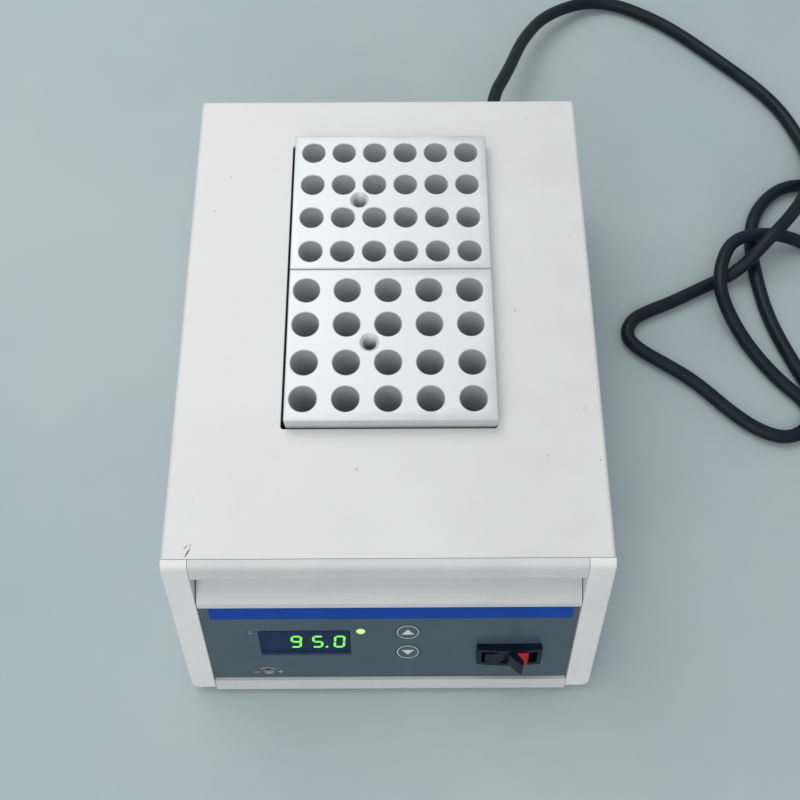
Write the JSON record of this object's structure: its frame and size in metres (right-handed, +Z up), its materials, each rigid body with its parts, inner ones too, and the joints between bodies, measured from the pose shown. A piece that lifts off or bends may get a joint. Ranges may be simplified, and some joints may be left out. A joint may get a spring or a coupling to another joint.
{
  "type": "dry bath incubator",
  "caption": "Bench dry bath with a sloping front panel, digital display, rocker switch and lift-out aluminium heating blocks with tube wells, on a mains lead.",
  "frame": {"origin": "on the table, under the middle of the casing's depth and width", "axes": "+X to the user's right, +Y to the back, +Z up"},
  "size_m": [0.4392, 0.4422, 0.0965],
  "materials": {
    "cover_paint": "smooth light grey powder coat",
    "moulding_grey": "satin light grey moulding",
    "overlay_film": "dark grey printed film with a blue stripe",
    "window_tint": "smoked pane",
    "display_body": "black display body",
    "lamp_green": "green diffused lamp",
    "lamp_off": "unlit diffused lamp",
    "key_film": "dark key with a white arrow and ring",
    "switch_black": "black moulded switch",
    "switch_red": "red moulded switch body",
    "board_green": "green circuit board",
    "component_black": "black component body",
    "trimmer_blue": "blue trimmer body",
    "block_aluminium": "fine machined aluminium",
    "well_aluminium": "cast aluminium",
    "bare_aluminium": "bare aluminium",
    "heater_film": "heater mat",
    "sheet_steel": "zinc plated sheet",
    "screw_steel": "plated screws",
    "transformer_core": "varnished laminations",
    "brass_pins": "plated brass",
    "ceramic_white": "white ceramic",
    "insulation_fibre": "felted fibre insulation",
    "terminal_green": "green terminal block",
    "fuse_glass": "glass fuse in clips",
    "foot_rubber": "soft black rubber",
    "cord_black": "black flexible cord jacket",
    "plug_black": "black moulded plug",
    "gland_black": "black nylon gland"
  },
  "bodies": {
    "root": {"top_cover": "cover_paint", "base_pan": "sheet_steel", "left_cheek": "moulding_grey", "right_cheek": "moulding_grey", "front_lip": "moulding_grey", "panel_frame": "moulding_grey", "panel_overlay": "overlay_film", "display_window": "window_tint", "display_digits": "display_body", "display_board": "board_green", "board_standoffs": "brass_pins", "tact_switches": "component_black", "rocker_housing": "switch_black", "rocker_terminals": "brass_pins", "calibration_trimmer": "trimmer_blue", "block_well": "well_aluminium", "heater_plate": "heater_film", "heater_clamp": "bare_aluminium", "clamp_screws": "screw_steel", "temperature_sensor": "sheet_steel", "thermal_cutoff": "component_black", "well_insulation": "insulation_fibre", "insulation_pad": "insulation_fibre", "chamber_spacers": "ceramic_white", "heat_shield": "sheet_steel", "power_board": "board_green", "power_board_posts": "brass_pins", "transformer": "transformer_core", "heat_sink": "bare_aluminium", "triac": "component_black", "terminal_block": "terminal_green", "fuse": "fuse_glass", "rubber_feet": "foot_rubber", "foot_screws": "screw_steel", "cover_screws": "screw_steel", "front_screws": "screw_steel", "board_screws": "screw_steel", "strain_relief": "gland_black", "power_cord": "cord_black", "cord_coil": "cord_black", "cord_tail": "cord_black", "mains_plug": "plug_black", "plug_pins": "brass_pins", "setpoint_led": "lamp_green", "actual_led": "lamp_off"},
    "rear_block": {"rear_heating_block": "block_aluminium"},
    "front_block": {"front_heating_block": "block_aluminium"},
    "rocker": {"rocker_paddle": "switch_black", "rocker_flag": "switch_red"},
    "up_button": {"up_key": "key_film"},
    "down_button": {"down_key": "key_film"},
    "trimmer": {"trimmer_rotor": "ceramic_white"}
  },
  "joints": [
    {"name": "rear_block_lift", "type": "slide", "parent": "root", "child": "rear_block", "axis": [0, 0, 1], "range_m": [0, 0.055]},
    {"name": "front_block_lift", "type": "slide", "parent": "root", "child": "front_block", "axis": [0, 0, 1], "range_m": [0, 0.055]},
    {"name": "power_rocker", "type": "hinge", "parent": "root", "child": "rocker", "pos_m": [0.05595, -0.12871, 0.02951], "axis": [0, 0.454, 0.891], "range_deg": [0, 40]},
    {"name": "up_key_press", "type": "slide", "parent": "root", "child": "up_button", "axis": [0, 0.891, -0.454], "range_m": [0, 0.0004], "stiffness_N_per_m": 1500, "springref_m": -0.0001},
    {"name": "down_key_press", "type": "slide", "parent": "root", "child": "down_button", "axis": [0, 0.891, -0.454], "range_m": [0, 0.0004], "stiffness_N_per_m": 1500, "springref_m": -0.0001},
    {"name": "calibration_turn", "type": "hinge", "parent": "root", "child": "trimmer", "pos_m": [-0.059, -0.13371, 0.01309], "axis": [0, -0.891, 0.454], "range_deg": [-135, 135]}
  ]
}
